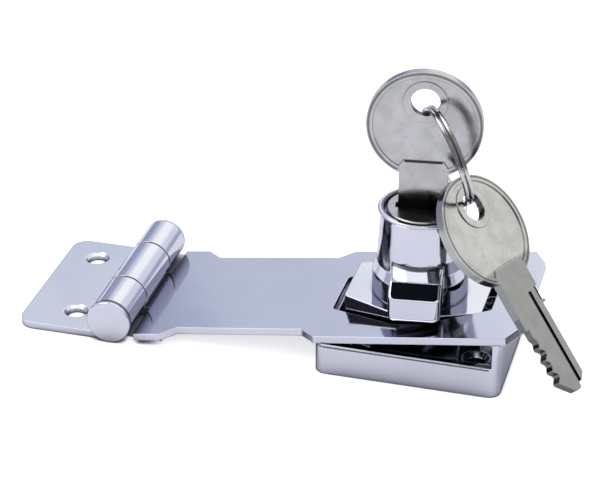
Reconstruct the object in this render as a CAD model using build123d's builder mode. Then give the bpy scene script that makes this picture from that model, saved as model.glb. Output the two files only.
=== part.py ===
from build123d import *
import math
import os

os.makedirs("parts", exist_ok=True)

# Keyed cabinet hasp lock: a hinged strap closes over a low cast base, and a
# knob with two wings turns across the strap's slot. A wafer lock stands in the
# knob. It is drawn as laid out on a table: strap closed, knob across, one key
# in the lock and the spare key hanging from it on a split ring.
# Origin on the table under the knob's axis, X along the strap towards its free
# end, Y to the back, Z up, millimetres.

# sheet parts and hinge
sheet = 1.6
strap_width = 38.0
waist_width = 32.0
hinge_x = -64.4
hinge_height = 4.9
knuckle_radius = 4.7
pin_head_radius = 4.9
pin_radius = 1.6
strap_tilt = 8.4
knuckle_front = -7.5
knuckle_back = 8.5
knuckle_gap = 0.22
plate_start = 4.8
strap_reach = 89.7
leaf_reach = 21.6
leaf_hole_radius = 2.0
leaf_sink_radius = 2.75

# slot of the strap and boss of the base
slot_centre = 64.3
slot_half_length = 17.45
slot_end_half = 7.0
slot_mid_half = 13.4
slot_flat_half = 3.0
boss_half_length = 14.9
boss_end_half = 7.4
boss_mid_half = 12.2
boss_top = 12.6
slot_gap = 0.01

# base casting
base_x = 1.5
base_length = 40.0
base_width = 39.5
base_corner = 2.6
base_wall = 1.8
base_floor = 2.0
rim_height = 7.0
rim_ease = 0.6
screw_post_x = 15.0
screw_post_y = 11.6
screw_post_radius = 3.2
screw_post_height = 4.2
screw_hole_radius = 1.9
screw_sink_radius = 2.9

# knob
skew = 7.5
stem_radius = 8.0
running_gap = 0.05
stem_bottom = 3.4
hub_radius = 10.3
hub_shoulder = 17.6
hub_top = 19.9
tower_foot_radius = 9.45
tower_radius = 8.8
lip_radius = 9.45
lip_bottom = 31.8
knob_top = 32.5
face_recess_radius = 8.1
wing_width = 11.0
wing_half_length = 16.7
wing_bottom = 13.35
wing_ridge = 24.6
wing_top = 21.2
wing_bevel_depth = 3.6
wing_bevel_drop = 2.5
wing_corner = 1.5
wing_foot = 1.2
cage_radius = 10.4
plate_radius = 9.6
plate_thickness = 1.2
plate_screw_x = 5.6

# lock cylinder
shell_radius = 7.9
wafer_groove_radius = 7.3
plug_radius = 6.5
shell_bottom = 12.9
shell_top = 31.2
plug_head_radius = 7.55
plug_face = 32.4
plug_bottom = 12.25
web_bottom = 10.8
tail_radius = 3.0
groove_radius = 2.5
clip_bottom = 10.25
clip_thickness = 0.5
clip_radius = 4.4
cam_bottom = 8.9
cam_radius = 4.5
tail_square = 3.6
chamber_radius = 4.9
drive_radius = 1.85
drive_pin_radius = 0.9
bolt_bottom = 5.6
bolt_top = 8.2
bolt_width = 6.0
bolt_tip = 7.3
bolt_tail = 3.4
bolt_travel = 2.6

# wafers, five in a row
wafer_count = 5
wafer_first = 15.5
wafer_pitch = 2.7
wafer_thickness = 0.9
wafer_width = 6.4
wafer_radius = 6.42
window_height = 9.1
window_width = 2.3

# keys and ring
key_thickness = 1.9
bow_radius = 12.2
bow_drop = 5.35
key_hole_radius = 3.1
key_hole_height = 56.9
neck_width = 10.2
shoulder_drop = 24.5
step_drop = 27.5
blade_width = 8.2
blade_length = 19.0
bow_border = 1.3
panel_drop = 13.5
cut_depths = (0.4, 1.0, 0.7, 1.1, 0.5)
ring_radius = 10.7
wire_radius = 0.48
coil_pitch = 1.02


def heading(angle):
    """Unit vector in the floor plane at an angle from X."""
    return (math.cos(math.radians(angle)), math.sin(math.radians(angle)), 0)


# working planes: along the tilted strap, on the skewed knob and through its wings
strap_dir = (math.cos(math.radians(strap_tilt)), 0, math.sin(math.radians(strap_tilt)))
strap_up = (-math.sin(math.radians(strap_tilt)), 0, math.cos(math.radians(strap_tilt)))
strap_plane = Plane(origin=(hinge_x, 0, hinge_height), x_dir=strap_dir, z_dir=strap_up)
knob_plane = Plane(origin=(0, 0, 0), x_dir=heading(skew), z_dir=(0, 0, 1))
wing_plane = Plane(origin=(0, 0, 0), x_dir=heading(skew + 90), z_dir=heading(skew))


def hexagon(half_length, end_half, mid_half):
    """Corner points of the long six-sided outline with flat middle and blunt ends."""
    quarter = [(half_length, end_half), (slot_flat_half, mid_half)]
    upper = quarter + [(-x, y) for x, y in reversed(quarter)]
    return upper + [(x, -y) for x, y in reversed(upper)]


def knuckle(front, back, bore):
    """Rolled hinge knuckle between two stations along the hinge axis, with its bore."""
    place = Location((hinge_x, (front + back) / 2, hinge_height), (90, 0, 0))
    with Locations(place):
        Cylinder(knuckle_radius, back - front)
        Cylinder(bore, back - front, mode=Mode.SUBTRACT)


# hinge leaf: flat plate on the table with the two outer knuckles and two
# staggered countersunk screw holes
leaf_left = hinge_x - leaf_reach
leaf_edge = hinge_x - plate_start
with BuildPart() as hinge_leaf:
    with BuildSketch():
        with Locations(((leaf_left + leaf_edge) / 2, 0)):
            Rectangle(leaf_edge - leaf_left, strap_width)
        fillet(vertices().group_by(Axis.X)[0], 3.4)
        for front, back in (
            (-strap_width / 2, knuckle_front - knuckle_gap),
            (knuckle_back + knuckle_gap, strap_width / 2),
        ):
            with Locations(((leaf_edge + hinge_x) / 2, (front + back) / 2)):
                Rectangle(plate_start + 0.02, back - front)
    extrude(amount=sheet)
    knuckle(-strap_width / 2, knuckle_front - knuckle_gap, pin_radius + 0.02)
    knuckle(knuckle_back + knuckle_gap, strap_width / 2, pin_radius + 0.02)
    with Locations((-74.9, -11.75, sheet), (-78.5, 11.75, sheet)):
        CounterSinkHole(leaf_hole_radius, leaf_sink_radius, counter_sink_angle=90)

# hasp strap: wide hinge end, waist, wide free end with the six-sided slot and
# the middle knuckle
with BuildPart() as hasp_strap:
    with BuildSketch(strap_plane.offset(-hinge_height)):
        with BuildLine():
            half = strap_width / 2
            waist = waist_width / 2
            front_edge = [
                (plate_start, -half),
                (10.6, -half),
                (13.9, -waist),
                (42.2, -waist),
                (45.6, -half),
                (strap_reach - 2.8, -half),
                (strap_reach, -half + 5.0),
            ]
            Polyline(*front_edge, *[(x, -y) for x, y in reversed(front_edge)], close=True)
        make_face()
        with Locations((plate_start / 2, (knuckle_front + knuckle_back) / 2)):
            Rectangle(plate_start + 0.02, knuckle_back - knuckle_front - 2 * knuckle_gap)
        with BuildSketch(mode=Mode.PRIVATE) as slot_shape:
            Polygon(*hexagon(slot_half_length, slot_end_half, slot_mid_half), align=None)
            fillet(slot_shape.vertices(), 0.9)
        with Locations((slot_centre, 0)):
            add(slot_shape.sketch, mode=Mode.SUBTRACT)
    extrude(amount=sheet)
    knuckle(knuckle_front + knuckle_gap, knuckle_back - knuckle_gap, pin_radius + 0.08)

# hinge pin: rivet with a flat turned head in front and a domed head behind
with BuildPart() as hinge_pin:
    with BuildSketch(Plane.XZ.offset(-strap_width / 2 - 1.2)):
        with Locations((hinge_x, hinge_height)):
            Circle(pin_radius)
    extrude(amount=strap_width + 2.1)
    with BuildSketch(Plane.XZ.offset(strap_width / 2 + 0.2)):
        with Locations((hinge_x, hinge_height)):
            Circle(pin_head_radius)
    extrude(amount=0.8)
    chamfer(edges().filter_by(GeomType.CIRCLE).group_by(Axis.Y)[0], 0.2)
    with BuildSketch(Plane.XZ.offset(-strap_width / 2 - 0.1)):
        with Locations((hinge_x, hinge_height)):
            Circle(knuckle_radius)
    extrude(amount=-1.3)
    fillet(edges().filter_by(GeomType.CIRCLE).group_by(Axis.Y)[-1], 1.1)

# base: cast tray with low walls, a taller wall under the strap's free end, the
# six-sided boss that fills the slot, four screw posts and the knob's bore
strap_underside = strap_plane.offset(-hinge_height - slot_gap)
base_left = base_x - base_length / 2
base_right = base_x + base_length / 2
with BuildPart() as lock_base:
    with BuildSketch():
        with Locations((base_x, 0)):
            RectangleRounded(base_length, base_width, base_corner)
    extrude(amount=boss_top + 1)
    split(bisect_by=strap_underside, keep=Keep.BOTTOM)
    with BuildSketch(Plane.XZ):
        with Locations(((base_left + base_right) / 2, rim_height + 5)):
            Rectangle(base_length - 2 * base_wall, 10)
        fillet(vertices().group_by(Axis.Z)[0].sort_by(Axis.X)[-1], 1.2)
    extrude(amount=base_width, both=True, mode=Mode.SUBTRACT)
    with BuildSketch(Plane.YZ.offset(base_left + base_wall)):
        for side in (-1, 1):
            Polygon(
                (side * (base_width / 2 - rim_ease), rim_height + 0.1),
                (side * (base_width / 2 + 0.2), rim_height + 0.1),
                (side * (base_width / 2 + 0.2), rim_height - 0.3),
                align=None,
            )
    extrude(amount=base_length - 2 * base_wall - 1.2, mode=Mode.SUBTRACT)
    with BuildSketch(Plane.XY.offset(base_floor)):
        with Locations((base_x, 0)):
            RectangleRounded(base_length - 2 * base_wall, base_width - 2 * base_wall, 1.4)
    extrude(amount=boss_top, mode=Mode.SUBTRACT)
    with BuildSketch():
        with GridLocations(2 * screw_post_x, 2 * screw_post_y, 2, 2):
            Circle(screw_post_radius)
    extrude(amount=screw_post_height)
    with BuildSketch():
        Polygon(*hexagon(boss_half_length, boss_end_half, boss_mid_half), align=None)
        fillet(vertices(), 0.8)
    extrude(amount=boss_top)
    fillet(edges().group_by(Axis.Z)[-1], 0.3)
    with Locations((0, 0, screw_post_height)):
        with GridLocations(2 * screw_post_x, 2 * screw_post_y, 2, 2):
            CounterSinkHole(screw_hole_radius, screw_sink_radius, depth=screw_post_height)
    with BuildSketch():
        Circle(stem_radius + running_gap)
    extrude(amount=boss_top, mode=Mode.SUBTRACT)
    with BuildSketch():
        Circle(plate_radius + 0.2)
    extrude(amount=stem_bottom + running_gap, mode=Mode.SUBTRACT)
    # two notches in the bore take the locking bolt, knob across and knob lengthwise
    for angle in (skew - 90, 0):
        notch_dir = heading(angle)
        notch_plane = Plane(origin=(0, 0, bolt_bottom - 0.1), x_dir=notch_dir, z_dir=(0, 0, 1))
        with BuildSketch(notch_plane):
            with Locations((8.4, 0)):
                Rectangle(4.8, bolt_width + 0.2)
        extrude(amount=bolt_top - bolt_bottom + 0.2, mode=Mode.SUBTRACT)

# knob: winged bar that falls away to bevelled ends, round hub, tapering tower
# with a thin lip, and the stem that turns in the base
with BuildPart() as knob_body:
    with BuildSketch(wing_plane):
        with BuildLine():
            reach = wing_half_length
            shoulder = reach - wing_bevel_depth
            low_side = [
                (-reach, wing_bottom),
                (-reach, wing_top - wing_bevel_drop),
                (-shoulder, wing_top),
            ]
            mirrored = [(-x, y) for x, y in reversed(low_side)]
            Polyline(*low_side, (0, wing_ridge), *mirrored, close=True)
        make_face()
    extrude(amount=wing_width / 2, both=True)
    fillet(edges().filter_by(Axis.Z), wing_corner)
    fillet(edges().group_by(Axis.Z)[0], wing_foot)
    upper_edges = edges().filter_by(GeomType.LINE).filter_by_position(Axis.Z, 18, 30)
    fillet(upper_edges, 0.6)
    for low, high, radius_low, radius_high in (
        (stem_bottom, boss_top + running_gap, stem_radius, stem_radius),
        (boss_top + running_gap, hub_shoulder, hub_radius, hub_radius),
        (hub_shoulder, hub_top, hub_radius, tower_foot_radius),
        (hub_top, lip_bottom, tower_foot_radius, tower_radius),
        (lip_bottom, knob_top, lip_radius, lip_radius),
    ):
        with Locations((0, 0, (low + high) / 2)):
            if radius_low == radius_high:
                Cylinder(radius_low, high - low)
            else:
                Cone(radius_low, radius_high, high - low)
    fillet(edges().filter_by(GeomType.CIRCLE).group_by(Axis.Z)[-1], 0.4)
    for low, high, radius in (
        (shell_top, knob_top, face_recess_radius),
        (shell_bottom, shell_top, shell_radius),
        (plug_bottom - running_gap, shell_bottom, plug_radius + running_gap),
        (web_bottom, plug_bottom - running_gap, tail_radius + running_gap),
        (bolt_top + running_gap, web_bottom, chamber_radius),
    ):
        with Locations((0, 0, (low + high) / 2)):
            Cylinder(radius, high - low, mode=Mode.SUBTRACT)
    rim_edges = edges().filter_by(GeomType.CIRCLE).group_by(Axis.Z)[-1]
    fillet(rim_edges.sort_by(SortBy.RADIUS)[0], 0.4)
    with BuildSketch(knob_plane.offset(bolt_bottom - running_gap)):
        with Locations((0, (bolt_tail - 9.0) / 2 + 0.1)):
            Rectangle(bolt_width + 0.1, bolt_tail + 9.0 + 0.2)
    extrude(amount=bolt_top - bolt_bottom + 2 * running_gap, mode=Mode.SUBTRACT)
    with BuildSketch(knob_plane.offset(stem_bottom)):
        with Locations((-plate_screw_x, 0), (plate_screw_x, 0)):
            Circle(1.0)
    extrude(amount=1.8, mode=Mode.SUBTRACT)

# cylinder shell pressed into the knob, its bore cut with four wafer grooves
with BuildPart() as cylinder_shell:
    with BuildSketch(knob_plane.offset(shell_bottom)):
        Circle(shell_radius - 0.02)
        Circle(plug_radius + running_gap, mode=Mode.SUBTRACT)
        with BuildSketch(mode=Mode.PRIVATE) as grooves:
            Rectangle(2 * wafer_groove_radius, wafer_width + 0.4)
            Rectangle(wafer_width + 0.4, 2 * wafer_groove_radius)
            Circle(wafer_groove_radius, mode=Mode.INTERSECT)
        add(grooves.sketch, mode=Mode.SUBTRACT)
    extrude(amount=shell_top - shell_bottom)

# plug with a head over the shell, keyway, wafer slots, spring ledges and a
# stepped tail for clip and cam
with BuildPart() as lock_plug:
    for low, high, radius in (
        (shell_top + running_gap, plug_face, plug_head_radius),
        (plug_bottom, shell_top + running_gap, plug_radius),
        (clip_bottom + clip_thickness, plug_bottom, tail_radius),
        (clip_bottom, clip_bottom + clip_thickness, groove_radius),
    ):
        with Locations((0, 0, (low + high) / 2)):
            Cylinder(radius, high - low)
    chamfer(edges().filter_by(GeomType.CIRCLE).group_by(Axis.Z)[-1], 0.25)
    with BuildSketch(knob_plane.offset(cam_bottom)):
        Rectangle(tail_square, tail_square)
    extrude(amount=clip_bottom - cam_bottom)
    with BuildSketch(knob_plane.offset(plug_face)):
        Rectangle(blade_width + 0.2, window_width - 0.1)
    extrude(amount=-blade_length - 0.4, mode=Mode.SUBTRACT)
    with BuildSketch(knob_plane.offset(plug_face)):
        with Locations((-0.75, 0)):
            Rectangle(9.9, window_width + 0.1)
    extrude(amount=shoulder_drop - step_drop - 0.2, mode=Mode.SUBTRACT)
    for number in range(wafer_count):
        level = wafer_first + number * wafer_pitch
        with BuildSketch(knob_plane.offset(level - 0.5)):
            Rectangle(2 * plug_radius + 1, wafer_width + 0.2)
            with Locations((-1.7, 2.7)):
                Rectangle(1.0, 1.2, mode=Mode.SUBTRACT)
        extrude(amount=1.0, mode=Mode.SUBTRACT)

# wafers: brass slides, each with a window for the key and a notch for its spring
wafers = []
for number in range(wafer_count):
    level = wafer_first + number * wafer_pitch
    with BuildPart() as wafer:
        with BuildSketch(knob_plane.offset(level - wafer_thickness / 2)):
            Circle(wafer_radius)
            Rectangle(2 * wafer_radius, wafer_width, mode=Mode.INTERSECT)
            with Locations((-0.1, 0)):
                Rectangle(window_height, window_width, mode=Mode.SUBTRACT)
            with Locations((-1.0, 2.6)):
                Rectangle(4.4, 1.4, mode=Mode.SUBTRACT)
        extrude(amount=wafer_thickness)
    wafer.part.label = f"wafer_{number + 1}"
    wafers.append(wafer.part)

# wafer springs: five small coils, each between a ledge of the plug and its wafer
with BuildPart() as wafer_springs:
    for number in range(wafer_count):
        level = wafer_first + number * wafer_pitch
        spring_plane = Plane(
            origin=knob_plane.from_local_coords((-1.15, 2.65, level)),
            x_dir=(0, 0, 1),
            z_dir=heading(skew),
        )
        with BuildSketch(spring_plane):
            Circle(0.42)
            Circle(0.24, mode=Mode.SUBTRACT)
        extrude(amount=2.3)

# retaining clip snapped into the tail's groove under the knob's web
with BuildPart() as plug_clip:
    with BuildSketch(knob_plane.offset(clip_bottom + 0.01)):
        Circle(clip_radius)
        Circle(groove_radius + 0.01, mode=Mode.SUBTRACT)
        with Locations((0, -3)):
            Rectangle(3.4, 6, mode=Mode.SUBTRACT)
    extrude(amount=clip_thickness - 0.02)

# drive cam riveted on the square tail, its off-centre pin reaches into the bolt
drive_x = drive_radius * math.cos(math.radians(45))
with BuildPart() as drive_cam:
    with BuildSketch(knob_plane.offset(cam_bottom)):
        Circle(cam_radius)
        Rectangle(tail_square + 0.02, tail_square + 0.02, mode=Mode.SUBTRACT)
    extrude(amount=clip_bottom - cam_bottom - 0.15)
    with BuildSketch(knob_plane.offset(cam_bottom)):
        Circle(cam_radius)
    extrude(amount=-0.5)
    with BuildSketch(knob_plane.offset(bolt_bottom + 0.1)):
        with Locations((drive_x, drive_x)):
            Circle(drive_pin_radius)
    extrude(amount=cam_bottom - bolt_bottom - 0.2)

# locking bolt: flat slide in the stem, drawn in at rest, with a cross slot for
# the cam's pin
with BuildPart() as locking_bolt:
    with BuildSketch(knob_plane.offset(bolt_bottom)):
        Circle(stem_radius - 0.1)
        with Locations((0, (bolt_tail - bolt_tip) / 2)):
            Rectangle(bolt_width, bolt_tail + bolt_tip + 1.2, mode=Mode.INTERSECT)
        with Locations((0, bolt_tail + 2)):
            Rectangle(bolt_width + 2, 4, mode=Mode.SUBTRACT)
        with Locations(((drive_x + drive_radius) / 2, drive_x)):
            Rectangle(
                2 * drive_pin_radius + drive_radius - drive_x + 0.2,
                2 * drive_pin_radius + 0.24,
                mode=Mode.SUBTRACT,
            )
    extrude(amount=bolt_top - bolt_bottom)

# retaining plate under the base, held to the stem by two small screws
with BuildPart() as knob_retaining_plate:
    with BuildSketch(knob_plane.offset(stem_bottom - plate_thickness)):
        Circle(plate_radius)
        with Locations((-plate_screw_x, 0), (plate_screw_x, 0)):
            Circle(1.2, mode=Mode.SUBTRACT)
    extrude(amount=plate_thickness)

with BuildPart() as plate_screws:
    with BuildSketch(knob_plane.offset(stem_bottom - plate_thickness - 1.1)):
        with Locations((-plate_screw_x, 0), (plate_screw_x, 0)):
            Circle(2.0)
    extrude(amount=1.1)
    with BuildSketch(knob_plane.offset(stem_bottom - plate_thickness)):
        with Locations((-plate_screw_x, 0), (plate_screw_x, 0)):
            Circle(0.99)
    extrude(amount=plate_thickness + 1.7)
    with BuildSketch(knob_plane.offset(stem_bottom - plate_thickness - 1.1)):
        with Locations((-plate_screw_x, 0), (plate_screw_x, 0)):
            Rectangle(2.6, 0.5)
            Rectangle(0.5, 2.6)
    extrude(amount=0.6, mode=Mode.SUBTRACT)


def key(plane):
    """Flat key on a plane whose origin is the hole's centre and whose y points up the key."""
    with BuildPart() as blank:
        with BuildSketch(plane):
            with Locations((0, -bow_drop)):
                Circle(bow_radius)
            with Locations((0, -(shoulder_drop + bow_drop + 8) / 2)):
                Rectangle(neck_width, shoulder_drop - bow_drop - 8)
            with Locations((-neck_width / 4, -(shoulder_drop + step_drop) / 2)):
                Rectangle(neck_width / 2, step_drop - shoulder_drop)
            with BuildLine():
                tip = -shoulder_drop - blade_length
                Polyline(
                    (-blade_width / 2, -shoulder_drop + 1),
                    (-blade_width / 2, tip + 3.2),
                    (-0.6, tip),
                    (0.9, tip),
                    (blade_width / 2, tip + 2.6),
                    (blade_width / 2, -shoulder_drop + 1),
                    close=True,
                )
            make_face()
            for number, depth in enumerate(cut_depths):
                level = wafer_first + number * wafer_pitch - key_hole_height
                edge = -blade_width / 2
                Polygon(
                    (edge - 0.2, level + 1.35),
                    (edge + depth, level + 0.3),
                    (edge + depth, level - 0.3),
                    (edge - 0.2, level - 1.35),
                    align=None,
                    mode=Mode.SUBTRACT,
                )
            Circle(key_hole_radius, mode=Mode.SUBTRACT)
        extrude(amount=key_thickness / 2, both=True)
        for side in (-1, 1):
            with BuildSketch(plane.offset(side * key_thickness / 2)):
                with Locations((0, -bow_drop)):
                    Circle(bow_radius - bow_border)
                Polygon(
                    (-neck_width / 2 + 0.9, -panel_drop),
                    (neck_width / 2 - 0.9, -panel_drop),
                    (neck_width / 2, -panel_drop - 1.3),
                    (neck_width / 2, -panel_drop - 4),
                    (-neck_width / 2, -panel_drop - 4),
                    (-neck_width / 2, -panel_drop - 1.3),
                    align=None,
                    mode=Mode.SUBTRACT,
                )
                Circle(key_hole_radius + 1.5, mode=Mode.SUBTRACT)
            extrude(amount=-side * 0.25, mode=Mode.SUBTRACT)
        with BuildSketch(plane.offset(key_thickness / 2)):
            with Locations((1.9, -(21.5 + shoulder_drop + blade_length) / 2)):
                Rectangle(1.0, shoulder_drop + blade_length - 21.5 + 1)
            with Locations((4.6, -22.2)):
                Rectangle(1.4, 3.2)
        extrude(amount=-0.6, mode=Mode.SUBTRACT)
    return blank.part


key_plane = Plane(
    origin=(0, 0, key_hole_height), x_dir=heading(skew), z_dir=heading(skew - 90)
)
key_in_lock = key(key_plane)

# spare key hanging from the ring, its face turned to the right
spare_plane = Plane(
    origin=(11.362, -5.672, 36.405), x_dir=(0.3751, 0.9259, -0.0457), z_dir=(0.7133, -0.2568, 0.6521)
)
spare_key = key(spare_plane)

# split ring of two close turns through both keys' holes
ring_plane = Plane(
    origin=(5.05, -1.036, 45.356), x_dir=(0.3751, -0.1096, -0.9205), z_dir=(-0.8221, -0.4982, -0.2757)
)
with BuildPart() as flat_ring:
    with BuildLine() as coil:
        Helix(coil_pitch, 2 * coil_pitch, ring_radius, center=(0, 0, -coil_pitch))
    with BuildSketch(Plane(origin=coil.line @ 0, z_dir=coil.line % 0)):
        Circle(wire_radius)
    sweep()
split_ring = flat_ring.part.moved(ring_plane.location)

pieces = {
    "hinge_leaf": hinge_leaf.part,
    "hinge_pin": hinge_pin.part,
    "hasp_strap": hasp_strap.part,
    "lock_base": lock_base.part,
    "knob_body": knob_body.part,
    "cylinder_shell": cylinder_shell.part,
    "lock_plug": lock_plug.part,
    "wafer_springs": wafer_springs.part,
    "plug_clip": plug_clip.part,
    "drive_cam": drive_cam.part,
    "locking_bolt": locking_bolt.part,
    "knob_retaining_plate": knob_retaining_plate.part,
    "plate_screws": plate_screws.part,
    "key_in_lock": key_in_lock,
    "spare_key": spare_key,
    "split_ring": split_ring,
}
for piece in wafers:
    pieces[piece.label] = piece
for label, piece in pieces.items():
    piece.label = label
    export_step(piece, f"parts/{label}.step")
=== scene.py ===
import bpy
import math
import numpy as np
from mathutils import Matrix

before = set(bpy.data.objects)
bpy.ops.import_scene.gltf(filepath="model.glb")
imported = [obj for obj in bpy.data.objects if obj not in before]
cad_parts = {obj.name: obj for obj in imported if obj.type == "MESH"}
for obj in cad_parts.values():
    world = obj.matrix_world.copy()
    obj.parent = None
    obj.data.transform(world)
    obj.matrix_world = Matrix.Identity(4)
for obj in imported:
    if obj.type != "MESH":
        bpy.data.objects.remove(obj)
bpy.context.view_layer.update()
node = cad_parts


# ---- hinge leaf -------------------------------------------------------------------------
# A short flat leaf blanked from 1.6 mm steel with its two outer knuckles rolled, then
# bright chrome plated. Two countersunk holes take the screws that fix it to the frame.
class Signal:
    """One shader socket in an expression: each operation on it adds its Math node."""

    def __init__(self, finish, socket):
        self.finish = finish
        self.socket = socket

    def maths(self, operation, *values):
        return self.finish.maths(operation, *values)

    def __add__(self, other):
        return self.maths("ADD", self, other)

    def __radd__(self, other):
        return self.maths("ADD", other, self)

    def __sub__(self, other):
        return self.maths("SUBTRACT", self, other)

    def __rsub__(self, other):
        return self.maths("SUBTRACT", other, self)

    def __mul__(self, other):
        return self.maths("MULTIPLY", self, other)

    def __rmul__(self, other):
        return self.maths("MULTIPLY", other, self)

    def __gt__(self, other):
        return self.maths("GREATER_THAN", self, other)

    def __lt__(self, other):
        return self.maths("LESS_THAN", self, other)

    def __abs__(self):
        return self.maths("ABSOLUTE", self)

    def __pow__(self, other):
        return self.maths("POWER", self, other)


class Finish:
    """A material or a world whose shader is built from signals and set by name."""

    def __init__(self, owner):
        owner.use_nodes = True
        self.owner = owner
        self.tree = owner.node_tree
        self.tree.nodes.clear()

    def add(self, kind, settings=None, sockets=(), output=0):
        """Adds one node, sets and links its sockets, and gives one of its outputs."""
        made = self.tree.nodes.new(kind)
        for key, value in (settings or {}).items():
            setattr(made, key, value)
        named = sockets.items() if isinstance(sockets, dict) else enumerate(sockets)
        for key, value in named:
            if isinstance(value, Signal):
                self.tree.links.new(value.socket, made.inputs[key])
            else:
                made.inputs[key].default_value = value
        if made.outputs:
            return Signal(self, made.outputs[output])

    def outputs(self, signal, keys):
        """Several outputs of the node that a signal comes from."""
        return [Signal(self, signal.socket.node.outputs[key]) for key in keys]

    def maths(self, operation, *values):
        """One step of arithmetic on signals and plain numbers."""
        return self.add("ShaderNodeMath", {"operation": operation}, values)

    def larger(self, first, second):
        """The larger of two signals."""
        return self.maths("MAXIMUM", first, second)

    def rays(self, *names):
        """What kind of ray is looking, as signals by name."""
        return self.outputs(self.add("ShaderNodeLightPath"), names)

    def place(self):
        """The point of the piece in the shared frame, in metres."""
        return self.add("ShaderNodeTexCoord", output="Object")

    def parts(self, vector):
        """The three components of a vector, each as a signal."""
        return self.outputs(self.add("ShaderNodeSeparateXYZ", None, [vector]), range(3))

    def grain(self, vector, scale, detail=2.0, rough=0.5):
        """Even noise around 0.5, scale features to the metre."""
        sockets = {"Vector": vector, "Scale": scale, "Detail": detail, "Roughness": rough}
        return self.add("ShaderNodeTexNoise", None, sockets, "Fac")

    def rise(self, value, low, high):
        """A smooth step: 0 below low, 1 above high."""
        settings = {"interpolation_type": "SMOOTHSTEP"}
        sockets = {"Value": value, "From Min": low, "From Max": high}
        return self.add("ShaderNodeMapRange", settings, sockets)

    def band(self, value, start, full, fade, end):
        """A smooth band: it rises from start to full, and is gone again from fade to end."""
        return self.rise(value, start, full) * (1 - self.rise(value, fade, end))

    def blend(self, factor, first, second):
        """A colour that goes from first to second as factor goes from 0 to 1."""
        sockets = {0: factor, 6: first, 7: second}
        return self.add("ShaderNodeMix", {"data_type": "RGBA"}, sockets, 2)

    def open_to(self, reach, samples):
        """How open a point is to what lies within reach: 1 in the open, 0 shut in."""
        settings = {"samples": samples}
        return self.add("ShaderNodeAmbientOcclusion", settings, {"Distance": reach}, "AO")

    def nooks(self, reach, open_from=0.82, shut_from=0.12):
        """How deep a point sits in a corner, seam or joint: 0 in the open, 1 deep in."""
        return 1 - self.rise(self.open_to(reach, 8), shut_from, open_from)

    def eased(self, radius):
        """The surface's normal with its sharp edges eased to a small radius."""
        return self.add("ShaderNodeBevel", {"samples": 8}, {"Radius": radius})

    def bump(self, height, depth, normal):
        """The normal tilted by a height signal whose full range is depth metres."""
        sockets = {"Strength": 1.0, "Distance": depth, "Height": height, "Normal": normal}
        return self.add("ShaderNodeBump", None, sockets)

    def metal(self, colour, roughness, normal):
        """Closes the finish as unplated or plated metal."""
        sockets = {
            "Base Color": colour,
            "Metallic": 1.0,
            "Roughness": roughness,
            "Normal": normal,
        }
        surface = self.add("ShaderNodeBsdfPrincipled", None, sockets)
        self.add("ShaderNodeOutputMaterial", None, {"Surface": surface})
        return self.owner


def dress(material, *names):
    """Gives CAD nodes their finish, in place of the plain colour they were packed with."""
    for name in names:
        mesh = node[name].data
        mesh.materials.clear()
        mesh.materials.append(material)


def bright_chrome(name, polish, edge, wave, wave_size, nook, own_painted_shade):
    """Bright plating: a faint swell in the surface, a thin haze, and painted shade in its inner
    corners. Polish is the roughness of the clean plating, edge the radius of its eased edges,
    wave and wave_size the depth and fineness of the swell, and nook how far a corner's painted
    shade reaches. The last argument paints the piece's own shade and dark reflections, 0 to 1."""
    bright, hazed, painted_shade_colour = (0.84, 0.85, 0.89, 1), (0.80, 0.81, 0.87, 1), (0.06, 0.06, 0.08, 1)
    finish = Finish(bpy.data.materials.new(name))
    here = finish.place()
    haze = finish.rise(finish.grain(here, 90.0, 3.0), 0.35, 0.75)
    marks = finish.rise(finish.grain(here, 2600.0, 2.0, 0.6), 0.55, 0.8)
    swell = finish.grain(here, wave_size, 1.0)
    # Painted shade: corners found by ambient occlusion, and the piece's own painted marks, go
    # towards near black and a little rougher.
    deep = finish.larger(finish.nooks(nook), own_painted_shade(finish, *finish.parts(here)))
    tone = finish.blend(haze, bright, hazed)
    tone = finish.blend(deep * 0.85, tone, painted_shade_colour)
    normal = finish.bump(swell, wave, finish.eased(edge))
    return finish.metal(tone, polish + haze * 0.03 + marks * 0.05 + deep * 0.15, normal)


def rolled_steel_chrome(name, own_painted_shade):
    """The plating of leaf and strap, which are cut from one sheet and plated together."""
    return bright_chrome(
        name, polish=0.09, edge=0.0003, wave=0.00003, wave_size=55.0, nook=0.0009, own_painted_shade=own_painted_shade
    )


def knuckle_shade(finish, x, y, z):
    """Painted shade on the front knuckle's end at the pin's head, and on the underside that
    faces the strap, darkened in its corners.
    """
    pin_x, pin_z, head_radius, knuckle_front = -0.0644, 0.0049, 0.0051, -0.0181
    strap_side, half_height = -0.0625, 0.0056
    from_pin = ((x - pin_x)**2 + (z - pin_z)**2) ** 0.5
    head = (from_pin < head_radius) * (y < knuckle_front)
    underside = finish.nooks(0.005, 0.95, 0.4) * (z < half_height) * (x > strap_side)
    return finish.larger(head, underside)


dress(rolled_steel_chrome("bright_chrome_on_leaf", knuckle_shade), "hinge_leaf")


# ---- hasp strap -------------------------------------------------------------------------
# The long strap, blanked and rolled from the same sheet as the leaf, with a narrower waist
# and the six-sided slot that drops over the boss. It is plated together with the leaf.
def painted_wing_shadow(finish, x, y, z):
    """Painted shadow of the knob's wing: the strip of the strap that the wing hangs over, in
    front of the slot, darkened in its corners.
    """
    slot_front, wing_half_width = -0.0125, 0.0125
    return finish.nooks(0.005, 0.8) * (y < slot_front) * (abs(x) < wing_half_width)


dress(rolled_steel_chrome("bright_chrome_on_strap", painted_wing_shadow), "hasp_strap")


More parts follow.
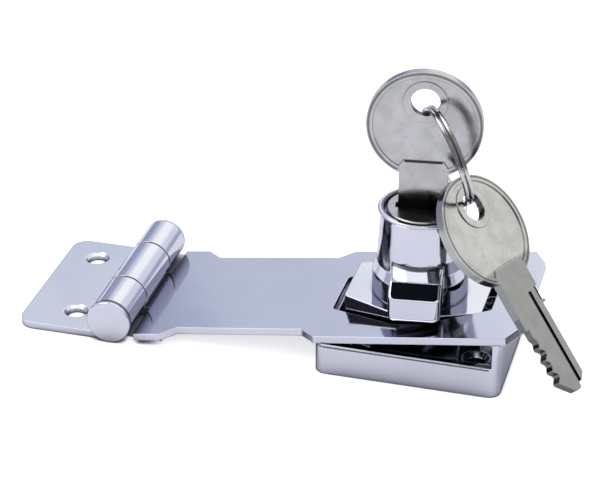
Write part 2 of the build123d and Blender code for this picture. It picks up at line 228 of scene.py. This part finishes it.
# ---- hinge pin --------------------------------------------------------------------------
# A steel pin through the three knuckles, with a flat head in front and its far end peened
# over. It is chrome plated as the leaves are, with a finer swell in its round surface.
def painted_shade_by_head(finish, x, y, z):
    """Painted shade on the shank right under the head, which the knuckle hides, for the dark
    line between head and knuckle.
    """
    knuckle_inside, head_back = -0.0170, -0.0192
    return (y < knuckle_inside) * (y > head_back)


pin_chrome = bright_chrome(
    "bright_chrome_on_pin",
    polish=0.06, edge=0.0003, wave=0.00002, wave_size=160.0, nook=0.0006, own_painted_shade=painted_shade_by_head,
)
dress(pin_chrome, "hinge_pin")


# ---- base and knob ----------------------------------------------------------------------
# Zinc die castings, tumbled and bright chrome plated: the low tray that screws to the
# cabinet and the knob that turns in its boss. The plating follows the casting's soft skin.
def cast_painted_shade(finish, x, y, z):
    """Painted shade and dark reflections: the narrow ring between the lip and the plug's head,
    a band at the tower's foot on the wings, the tight corner beside the wing, and the line
    under the tray's eased rim."""
    lip_inside, lip_level = 0.0087, 0.0300
    foot_inside, foot_outside, foot_level, foot_half_height = 0.0089, 0.0101, 0.0222, 0.0006
    wing_half_width, wing_lean = 0.0056, 0.13
    wing_right, wing_low, wing_high = 0.0035, 0.0165, 0.0215
    rim_low, rim_high, tray_half_width, end_wall = 0.0064, 0.0068, 0.0190, 0.0192
    reach = (x**2 + y**2) ** 0.5
    ring = (reach < lip_inside) * (z > lip_level)
    foot = (reach > foot_inside) * (reach < foot_outside)
    foot = foot * (abs(z - foot_level) < foot_half_height)
    foot = foot * (abs(x + y * wing_lean) < wing_half_width)
    corner = finish.nooks(0.004, 0.9) * (x > wing_right) * (z > wing_low) * (z < wing_high)
    rim = (abs(y) > tray_half_width) * (z > rim_low) * (z < rim_high) * (x < end_wall)
    return finish.larger(ring + foot + rim, corner)


cast_chrome = bright_chrome(
    "bright_chrome_on_casting",
    polish=0.04, edge=0.0004, wave=0.00004, wave_size=140.0, nook=0.0018, own_painted_shade=cast_painted_shade,
)
dress(cast_chrome, "lock_base", "knob_body")


# ---- plug, shell and wafers -------------------------------------------------------------
# The keyed cylinder inside the knob's tower: a zinc shell, a nickel plated plug and five
# stamped brass wafers on small steel springs. A clip and a cam close it from below.
def worked_metal(name, colour, shade, rough, edge, cut, cut_size):
    """Worked metal with less polish: fine marks all over, darker where they lie close. Rough
    is its roughness, edge the radius of its eased edges, cut and cut_size how deep and how
    fine its marks are."""
    finish = Finish(bpy.data.materials.new(name))
    here = finish.place()
    marks = finish.grain(here, cut_size, 3.0, 0.6)
    patch = finish.rise(finish.grain(here, 220.0, 2.0), 0.3, 0.7)
    tone = finish.blend(patch, (*colour, 1), (*shade, 1))
    normal = finish.bump(marks, cut, finish.eased(edge))
    return finish.metal(tone, rough + patch * 0.08, normal)


plug_nickel = worked_metal(
    "nickel_on_plug", colour=(0.56, 0.56, 0.56), shade=(0.46, 0.46, 0.45),
    rough=0.2, edge=0.0001, cut=0.00001, cut_size=3000.0,
)
shell_zinc = worked_metal(
    "bare_zinc", colour=(0.50, 0.51, 0.53), shade=(0.42, 0.43, 0.45),
    rough=0.35, edge=0.0001, cut=0.00002, cut_size=2200.0,
)
wafer_brass = worked_metal(
    "stamped_brass", colour=(0.78, 0.58, 0.28), shade=(0.68, 0.48, 0.22),
    rough=0.28, edge=0.00005, cut=0.00001, cut_size=4000.0,
)
inner_steel = worked_metal(
    "zinc_plated_steel", colour=(0.60, 0.62, 0.66), shade=(0.50, 0.52, 0.57),
    rough=0.3, edge=0.00008, cut=0.00001, cut_size=3200.0,
)
dress(plug_nickel, "lock_plug")
dress(shell_zinc, "cylinder_shell")
dress(wafer_brass, "wafer_1", "wafer_2", "wafer_3", "wafer_4", "wafer_5")
dress(inner_steel, "wafer_springs", "plug_clip", "drive_cam", "locking_bolt")
dress(inner_steel, "knob_retaining_plate", "plate_screws")


# ---- keys -------------------------------------------------------------------------------
# Two keys stamped from brass, nickel plated and tumbled to a satin face. The bow has a
# raised border, a raised ring round its hole and a panel that runs down into the neck.
def tumbled_nickel(name, origin, across, facing, shank, mouth):
    """The key's satin face with fine pits, darker on its edge walls and more so down the blade,
    with painted shade near black in its hole, corners, milled groove and notch, and a painted
    dark reflection round the bow's border. The key's own axes run across it, up it and out of
    its face, from the middle of its hole. Shank says how much painted shade darkens its neck
    and blade, mouth how much painted shade darkens it at the plug and along the top of its
    panel."""
    half_thick, hole_radius, bow_middle, panel_level = 0.00068, 0.0033, -0.00535, 0.0009
    groove_side, groove_half_width, groove_top = 0.0019, 0.00049, -0.0213
    notch_side, notch_up, notch_half_width, notch_half_height = 0.0046, -0.0222, 0.0008, 0.0015
    panel_top, line_half_height, line_half_width, border_end = -0.0137, 0.00022, 0.0040, -0.0157
    finish = Finish(bpy.data.materials.new(name))
    across, facing = np.array(across, float), np.array(facing, float)
    axes = Matrix(np.stack([across, np.cross(facing, across), facing], 1).tolist())
    here = finish.add(
        "ShaderNodeMapping",
        {"vector_type": "TEXTURE"},
        {"Vector": finish.place(), "Location": origin, "Rotation": axes.to_euler()},
    )
    side, up, out = finish.parts(here)
    wall = abs(out) < half_thick
    pits = finish.rise(finish.grain(here, 2400.0, 3.0, 0.65), 0.56, 0.74)
    patch = finish.rise(finish.grain(here, 260.0, 3.0, 0.6), 0.32, 0.70)
    skin = finish.grain(here, 1500.0, 4.0, 0.7)
    # Painted shade: corners found by ambient occlusion are darkened below.
    deep = finish.nooks(0.0007, 0.97)
    eye = (side**2 + up**2 < hole_radius**2) * wall
    groove = (abs(side - groove_side) < groove_half_width) * (up < groove_top)
    notch = abs(side - notch_side) < notch_half_width
    notch = notch * (abs(up - notch_up) < notch_half_height)
    milled = finish.larger(groove, notch) * (out > 0.0001) * (out < panel_level)
    from_middle = (side**2 + (up - bow_middle)**2) ** 0.5
    # Painted reflection: a dark line just inside the bow's raised border.
    border = finish.band(from_middle, 0.01130, 0.01165, 0.01185, 0.01205)
    border = border * (abs(out) > panel_level) * (up > border_end)
    blade = finish.rise(-1 * up, 0.0130, 0.0142)
    # Painted shade: the key where it enters the plug, and the line along the top of the panel.
    at_plug = finish.nooks(0.006, 0.88, 0.77) * (up < -0.0195)
    panel_line = (abs(up - panel_top) < line_half_height) * (abs(side) < line_half_width)
    tone = finish.blend(patch, (0.70, 0.69, 0.65, 1), (0.57, 0.57, 0.53, 1))
    for amount, colour in (
        # Painted shade on the neck and blade.
        (blade * shank, (0.27, 0.27, 0.26, 1)),
        # Painted shade at the plug and along the top line of the panel.
        (at_plug * mouth, (0.02, 0.02, 0.018, 1)),
        (panel_line * mouth, (0.03, 0.03, 0.028, 1)),
        # Painted reflection: the dark line inside the bow's border.
        (border * 0.75, (0.07, 0.07, 0.065, 1)),
        (pits * 0.45, (0.30, 0.30, 0.28, 1)),
        (wall * 0.35, (0.40, 0.40, 0.39, 1)),
        (wall * (up < -0.0245) * 0.55, (0.10, 0.10, 0.095, 1)),
        # Painted shade: near black inside the hole, in corners, and in the milled groove and
        # notch.
        (eye * 0.85, (0.03, 0.03, 0.028, 1)),
        (deep * 0.9, (0.05, 0.05, 0.045, 1)),
        (milled * 0.93, (0.015, 0.015, 0.014, 1)),
    ):
        tone = finish.blend(amount, tone, colour)
    normal = finish.bump(skin, 0.000014, finish.eased(0.00014))
    return finish.metal(tone, 0.11 + patch * 0.05 + pits * 0.1 + milled * 0.2, normal)


def heading(angle):
    """Unit vector in the table's plane, degrees from the strap's direction."""
    return (math.cos(math.radians(angle)), math.sin(math.radians(angle)), 0.0)


lock_key_nickel = tumbled_nickel(
    "tumbled_nickel_in_lock", origin=(0, 0, 0.0569),
    across=heading(7.5), facing=heading(-82.5), shank=0.1, mouth=0.95,
)
spare_key_nickel = tumbled_nickel(
    "tumbled_nickel_spare", origin=(0.011362, -0.005672, 0.036405),
    across=(0.3751, 0.9259, -0.0457), facing=(0.7133, -0.2568, 0.6521), shank=0.7, mouth=0.0,
)
dress(lock_key_nickel, "key_in_lock")
dress(spare_key_nickel, "spare_key")


# ---- split ring -------------------------------------------------------------------------
# Two close turns of hard steel wire, nickel plated, sprung open to take both keys.
def drawn_wire(name):
    """Bright drawn wire, with painted shade in the seam between its turns and a painted dark
    reflection in a band part way up it.
    """
    finish = Finish(bpy.data.materials.new(name))
    here = finish.place()
    x, y, z = finish.parts(here)
    seam = finish.nooks(0.0006, 0.9)
    painted_reflection_band = finish.band(z, 0.0465, 0.0485, 0.0535, 0.0550)
    drawn = finish.grain(here, 2500.0, 2.0, 0.6)
    worn = finish.rise(drawn, 0.4, 0.7)
    tone = finish.blend(worn, (0.86, 0.85, 0.79, 1), (0.70, 0.70, 0.66, 1))
    # Painted reflection: a dark band part way up the wire.
    tone = finish.blend(painted_reflection_band * 0.8, tone, (0.06, 0.06, 0.06, 1))
    # Painted shade: near black in the seam between the turns.
    tone = finish.blend(seam * 0.95, tone, (0.02, 0.02, 0.02, 1))
    normal = finish.bump(drawn, 0.000004, finish.eased(0.00005))
    return finish.metal(tone, 0.08 + painted_reflection_band * 0.1, normal)


dress(drawn_wire("nickel_on_wire"), "split_ring")


# ---- table ------------------------------------------------------------------------------
# A plain pale table under the lock. The camera sees it as the white sheet of a catalogue
# picture, and it keeps the soft shadow that the lock throws on it, deepened with painted shade.
def disc(name, radius, height):
    """A flat disc: angle runs round it and distance from the middle runs across it."""
    across, round_ = 24, 72
    angle = np.linspace(0, 2 * np.pi, round_, endpoint=False)
    reach = radius * np.linspace(0, 1, across + 1)[1:]
    x = np.append(0, np.outer(reach, np.cos(angle)))
    y = np.append(0, np.outer(reach, np.sin(angle)))
    points = np.stack([x, y, np.full_like(x, height)], 1)
    step = np.arange(round_)
    after = (step + 1) % round_
    faces = np.stack([np.zeros_like(step), 1 + step, 1 + after], 1).tolist()
    for row in range(across - 1):
        low = 1 + row * round_
        high = low + round_
        faces += np.stack([low + step, high + step, high + after, low + after], 1).tolist()
    mesh = bpy.data.meshes.new(name)
    mesh.from_pydata(points.tolist(), [], faces)
    made = bpy.data.objects.new(name, mesh)
    bpy.context.scene.collection.objects.link(made)
    return made


def white_sheet(name):
    """Matt white that glows to the eye alone. Painted shade darkens its colour and glow where
    the lock stands close over it, most of all in the narrow gap under the hinge, and painted
    light keeps it light beside the tray's right wall, which mirrors it."""
    white, shadow, to_white = (0.88, 0.885, 0.93, 1), (0.19, 0.19, 0.24, 1), 0.68
    gap_x, gap_y, gap_half_width, gap_half_length = -0.0595, 0.0025, 0.0060, 0.0190
    tray_right, tray_front = 0.0218, -0.0180
    sheet = Finish(bpy.data.materials.new(name))
    by_camera, through_glass = sheet.rays("Is Camera Ray", "Is Transmission Ray")
    by_eye = sheet.larger(by_camera, through_glass)
    close, wide = sheet.open_to(0.002, 12), sheet.open_to(0.010, 12)
    x, y, z = sheet.parts(sheet.place())
    # Painted shade: a box over the gap under the hinge, darkened where the lock closes over it.
    hinge_gap = (abs(x - gap_x) < gap_half_width) * (abs(y - gap_y) < gap_half_length)
    hinge_gap = hinge_gap * (1 - sheet.rise(wide, 0.78, 0.99))
    # Painted shade: ambient occlusion darkens the floor's colour and its glow where the lock
    # stands close.
    open_ = sheet.rise(close, 0.3, 0.7) * (1 - 0.95 * hinge_gap)
    # Painted light: the floor beside the tray's right wall is kept light.
    painted_light_beside_tray = (x > tray_right) * (y > tray_front)
    clear = sheet.larger(sheet.rise(wide, 0.3, 0.95), by_eye * open_)
    shade = sheet.blend(clear, shadow, white)
    shade = sheet.blend(painted_light_beside_tray * 0.6, shade, white)
    paper = sheet.add("ShaderNodeBsdfDiffuse", None, {"Color": shade})
    glow = sheet.add("ShaderNodeEmission", None, {"Strength": by_eye * to_white * open_})
    lit = sheet.add("ShaderNodeAddShader", None, [paper, glow])
    sheet.add("ShaderNodeOutputMaterial", None, {"Surface": lit})
    return sheet.owner


table = disc("table", radius=2.0, height=-0.00005)
table.data.materials.append(white_sheet("white_table"))

# ---- light and camera -------------------------------------------------------------------
# The studio round the lock: lavender walls with a white sheet of light behind the knob, and
# a dark gap right overhead. The eye sees it white, as the background of the picture.
# Round_ is the angle round the lock, from straight behind it, and height the angle above the
# table, both in degrees. Again and dusk are what plating shows of itself in itself.
studio = Finish(bpy.data.worlds.new("studio"))
bpy.context.scene.world = studio.owner
to_degrees = 180 / math.pi
x, y, z = studio.parts(studio.add("ShaderNodeTexCoord", output="Generated"))
round_ = studio.maths("ARCTAN2", x, y) * to_degrees
height = studio.maths("ARCSINE", z) * to_degrees
arch = studio.maths("ARCTAN2", z, y) * to_degrees
by_camera, depth = studio.rays("Is Camera Ray", "Glossy Depth")
again = depth > 1.5

left_to_middle = studio.rise(round_, -28.5, -25.3)
middle_wall = studio.rise(round_, -23.0, -17.0)
upper_wall = studio.rise(height, 27.0, 31.0)
sides = studio.rise(abs(round_), 70.0, 110.0)
front = studio.rise(abs(round_), 80.0, 100.0)
sheet_of_light = studio.band(round_, -20.0, -5.0, 14.0, 26.0)
right_wall = studio.band(round_, 36.0, 50.0, 86.0, 100.0)
horizon = 1 - studio.rise(height, 8.0, 17.0)
overhead = studio.band(arch, 90.0, 95.0, 107.0, 115.0)
overhead = overhead * studio.rise(height, 60.0, 68.0) * (1 - again)
dusk = again * (1 - studio.rise(height, 40.0, 50.0))
left_wall = studio.rise(-1 * round_, 45.0, 62.0) * (1 - studio.rise(height, 22.0, 28.0))
seen = (0.36, 0.39, 0.55, 1)
for amount, colour in (
    (left_to_middle, (0.56, 0.60, 0.73, 1)),
    (middle_wall, (0.72, 0.75, 0.87, 1)),
    (upper_wall, (0.70, 0.73, 0.84, 1)),
    (sides, (0.74, 0.75, 0.86, 1)),
    (sheet_of_light, (1.04, 1.04, 1.06, 1)),
    (right_wall, (0.88, 0.89, 0.90, 1)),
    (horizon * 0.75, (0.29, 0.30, 0.43, 1)),
    (front * studio.rise(height, 42.0, 52.0), (1.16, 1.16, 1.18, 1)),
    (overhead, (0.004, 0.005, 0.008, 1)),
    (dusk * 0.85, (0.20, 0.21, 0.33, 1)),
    (dusk * studio.larger(left_wall, front), (0.012, 0.012, 0.020, 1)),
    ((depth > 2.5) * 0.9, (0.03, 0.03, 0.05, 1)),
    (by_camera, (1, 1, 1, 1)),
):
    seen = studio.blend(amount, seen, colour)
back = studio.add("ShaderNodeBackground", None, {"Color": seen, "Strength": 1.0})
studio.add("ShaderNodeOutputWorld", None, {"Surface": back})


def soft_lamp(name, place, width, height, watts):
    """A soft panel lamp that faces the lock."""
    lamp = bpy.data.lights.new(name, "AREA")
    lamp.shape = "RECTANGLE"
    lamp.size, lamp.size_y = width, height
    lamp.energy = watts
    made = bpy.data.objects.new(name, lamp)
    forward = -np.array(place, float) / np.linalg.norm(place)
    right = np.cross(forward, (0, 0, 1))
    right /= np.linalg.norm(right)
    turn = np.stack([right, np.cross(right, forward), -forward], 1)
    made.matrix_world = Matrix.Translation(place) @ Matrix(turn.tolist()).to_4x4()
    bpy.context.scene.collection.objects.link(made)


soft_lamp("key_panel", place=(-0.55, -0.1, 0.78), width=0.6, height=0.6, watts=1.5)

# The camera stands in front and a little to the right, as it was solved from the photograph.
camera = bpy.data.cameras.new("camera")
camera.sensor_width = 36.0
camera.lens = 128.86
camera.clip_start = 0.01
camera.clip_end = 20.0
eye = bpy.data.objects.new("camera", camera)
across = (0.964196, 0.2651896, 0.00073033)
upward = (-0.1302467, 0.4711582, 0.8723794)
behind = (0.2310019, -0.8412398, 0.4888289)
turn = Matrix(np.stack([across, upward, behind], 1).tolist()).to_4x4()
eye.matrix_world = Matrix.Translation((0.0814848, -0.3934467, 0.2464324)) @ turn
bpy.context.scene.collection.objects.link(eye)
bpy.context.scene.camera = eye
bpy.context.scene.view_settings.view_transform = "Standard"
